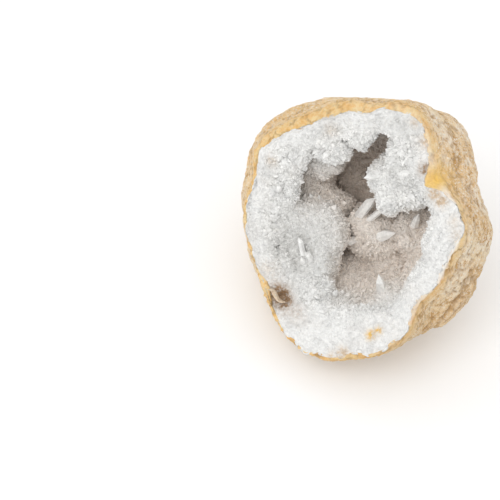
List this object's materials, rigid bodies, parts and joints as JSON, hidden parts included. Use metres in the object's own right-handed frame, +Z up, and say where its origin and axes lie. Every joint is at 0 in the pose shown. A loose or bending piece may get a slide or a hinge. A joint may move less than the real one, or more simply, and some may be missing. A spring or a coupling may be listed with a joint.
{
  "type": "quartz geode half",
  "caption": "Half of a broken quartz geode: a tan stone rind around a thick wall of white crystalline quartz, hollow in the middle, with larger pointed crystals standing in the hollow.",
  "frame": {"origin": "middle of the worn flat that the stone rests on", "axes": "+Z up; the open broken face looks towards -Y and 42 degrees above level; +X to the right as seen from in front of it"},
  "size_m": [0.1015, 0.085, 0.0867],
  "materials": {
    "rind": "matte, grainy",
    "quartz": "sparkling, sugary",
    "crystal": "glossy, slightly milky"
  },
  "bodies": {
    "root": {"rind": "rind", "quartz_wall": "quartz", "crystal_centre_wedge": "crystal", "crystal_centre_finger": "crystal", "crystal_centre_stub": "crystal", "crystal_floor_needle": "crystal", "crystal_floor_right": "crystal", "crystal_hollow_block": "crystal", "crystal_hollow_low": "crystal", "crystal_ledge_tip": "crystal", "crystal_ledge_top": "crystal", "crystal_mound_tall": "crystal", "crystal_mound_twin": "crystal", "crystal_mound_side": "crystal", "crystal_back_left": "crystal", "crystal_back_twin": "crystal", "crystal_roof_lobe": "crystal", "crystal_left_lip": "crystal"}
  },
  "joints": []
}
